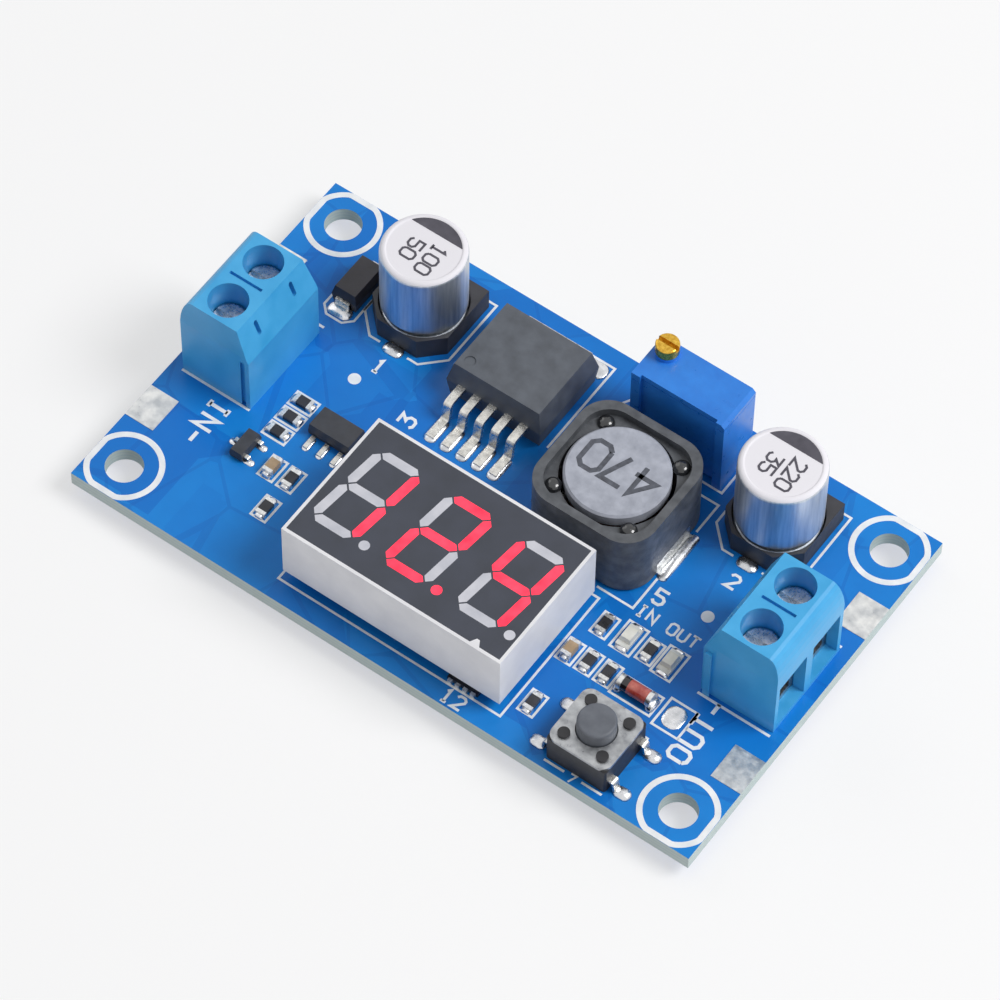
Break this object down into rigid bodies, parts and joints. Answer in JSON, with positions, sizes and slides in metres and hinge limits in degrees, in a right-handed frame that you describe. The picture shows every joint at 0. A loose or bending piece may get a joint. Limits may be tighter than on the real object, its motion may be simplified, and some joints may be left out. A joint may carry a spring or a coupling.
{
  "type": "buck converter module",
  "caption": "Adjustable step-down power converter board with screw terminals at each end, a multi-turn trimmer, a push switch and a numeric meter display.",
  "frame": {"origin": "middle of the four mounting holes, on the board's underside", "axes": "+X from the input end to the output end, +Y away from the meter display, +Z out of the component side"},
  "size_m": [0.066, 0.039, 0.0144],
  "materials": {
    "board": "blue solder mask over glass-fibre board, pale bare edges",
    "tinned_pad": "hot-tinned copper",
    "terminal_plastic": "satin moulded nylon",
    "tinned_strip": "tinned brass strip",
    "clamp_steel": "zinc-plated steel",
    "screw_steel": "zinc-plated steel",
    "solder": "bright solder",
    "capacitor_can": "drawn satin, pale printed top",
    "capacitor_base": "moulded",
    "tinned_lead": "tinned",
    "moulding_compound": "fine-grained moulding",
    "tab_metal": "tinned copper",
    "ferrite_shell": "dark pressed ferrite",
    "ferrite_core": "grey ground ferrite",
    "copper_wire": "enamelled copper",
    "glue": "set resin",
    "clip_metal": "tinned",
    "trimmer_plastic": "satin moulding",
    "brass": "turned",
    "display_plastic": "white moulding",
    "display_face": "dark grey ink",
    "lit_bar": "glowing red diffuser",
    "unlit_bar": "milky diffuser",
    "switch_plastic": "moulded",
    "cover_steel": "pressed plate",
    "button_plastic": "moulded",
    "dome_metal": "spring steel",
    "diode_plastic": "moulded",
    "glass_tube": "red-tinted glass with a dark band",
    "chip_end": "tinned",
    "chip_resistor": "glazed",
    "chip_capacitor": "fired",
    "lamp_lens": "clear resin",
    "lamp_base": "white laminate"
  },
  "bodies": {
    "root": {"circuit_board": "board", "edge_pads": "tinned_pad", "input_terminal_housing": "terminal_plastic", "output_terminal_housing": "terminal_plastic", "input_terminal_contacts": "tinned_strip", "output_terminal_contacts": "tinned_strip", "terminal_solder": "solder", "input_capacitor_can": "capacitor_can", "input_capacitor_base": "capacitor_base", "input_capacitor_leads": "tinned_lead", "output_capacitor_can": "capacitor_can", "output_capacitor_base": "capacitor_base", "output_capacitor_leads": "tinned_lead", "regulator_body": "moulding_compound", "regulator_tab": "tab_metal", "regulator_leads": "tinned_lead", "inductor_shell": "ferrite_shell", "inductor_core": "ferrite_core", "inductor_winding": "copper_wire", "inductor_glue": "glue", "inductor_clips": "clip_metal", "trimmer_body": "trimmer_plastic", "trimmer_pins": "tinned_lead", "trimmer_solder": "solder", "display_housing": "display_plastic", "display_face": "display_face", "lit_bars": "lit_bar", "unlit_bars": "unlit_bar", "display_pins": "tinned_lead", "display_solder": "solder", "switch_base": "switch_plastic", "switch_cover": "cover_steel", "switch_dome": "dome_metal", "switch_leads": "tinned_lead", "input_diode_body": "diode_plastic", "input_diode_leads": "tinned_lead", "glass_diode_body": "glass_tube", "glass_diode_caps": "chip_end", "chip_resistors": "chip_resistor", "chip_resistor_ends": "chip_end", "chip_capacitors": "chip_capacitor", "chip_capacitor_ends": "chip_end", "transistor_bodies": "moulding_compound", "transistor_leads": "tinned_lead", "indicator_lamps": "lamp_lens", "indicator_lamp_bases": "lamp_base", "resistor_array": "chip_resistor", "resistor_array_ends": "chip_end", "meter_chip": "moulding_compound", "meter_chip_leads": "tinned_lead"},
    "input_negative_clamp": {"input_negative_clamp": "clamp_steel"},
    "input_positive_clamp": {"input_positive_clamp": "clamp_steel"},
    "output_negative_clamp": {"output_negative_clamp": "clamp_steel"},
    "output_positive_clamp": {"output_positive_clamp": "clamp_steel"},
    "input_negative_screw": {"input_negative_screw": "screw_steel"},
    "input_positive_screw": {"input_positive_screw": "screw_steel"},
    "output_negative_screw": {"output_negative_screw": "screw_steel"},
    "output_positive_screw": {"output_positive_screw": "screw_steel"},
    "trimmer_screw": {"trimmer_screw": "brass"},
    "switch_button": {"switch_button": "button_plastic"}
  },
  "joints": [
    {"name": "input_negative_screw_turn", "type": "hinge", "parent": "root", "child": "input_negative_screw", "pos_m": [-0.0283, -0.00229, 0.0016], "axis": [0, 0, 1], "range_deg": [-1202, 0]},
    {"name": "input_negative_clamp_rise", "type": "slide", "parent": "root", "child": "input_negative_clamp", "axis": [0, 0, 1], "range_m": [0, 0.0015]},
    {"name": "input_positive_screw_turn", "type": "hinge", "parent": "root", "child": "input_positive_screw", "pos_m": [-0.0283, 0.00279, 0.0016], "axis": [0, 0, 1], "range_deg": [-1202, 0]},
    {"name": "input_positive_clamp_rise", "type": "slide", "parent": "root", "child": "input_positive_clamp", "axis": [0, 0, 1], "range_m": [0, 0.0015]},
    {"name": "output_negative_screw_turn", "type": "hinge", "parent": "root", "child": "output_negative_screw", "pos_m": [0.0283, -0.00254, 0.0016], "axis": [0, 0, 1], "range_deg": [-1202, 0]},
    {"name": "output_negative_clamp_rise", "type": "slide", "parent": "root", "child": "output_negative_clamp", "axis": [0, 0, 1], "range_m": [0, 0.0015]},
    {"name": "output_positive_screw_turn", "type": "hinge", "parent": "root", "child": "output_positive_screw", "pos_m": [0.0283, 0.00254, 0.0016], "axis": [0, 0, 1], "range_deg": [-1202, 0]},
    {"name": "output_positive_clamp_rise", "type": "slide", "parent": "root", "child": "output_positive_clamp", "axis": [0, 0, 1], "range_m": [0, 0.0015]},
    {"name": "trimmer_screw_turn", "type": "hinge", "parent": "root", "child": "trimmer_screw", "pos_m": [0.0057, 0.01603, 0.0116], "axis": [0, 0, 1], "continuous": true},
    {"name": "button_press", "type": "slide", "parent": "root", "child": "switch_button", "axis": [0, 0, -1], "range_m": [0, 0.00025], "stiffness_N_per_m": 1000, "deforming": ["switch_dome"]}
  ],
  "couplings": [
    {"joint": "input_negative_screw_turn", "follows": "input_negative_clamp_rise", "rad_per_m": -13963},
    {"joint": "input_positive_screw_turn", "follows": "input_positive_clamp_rise", "rad_per_m": -13963},
    {"joint": "output_negative_screw_turn", "follows": "output_negative_clamp_rise", "rad_per_m": -13963},
    {"joint": "output_positive_screw_turn", "follows": "output_positive_clamp_rise", "rad_per_m": -13963}
  ]
}
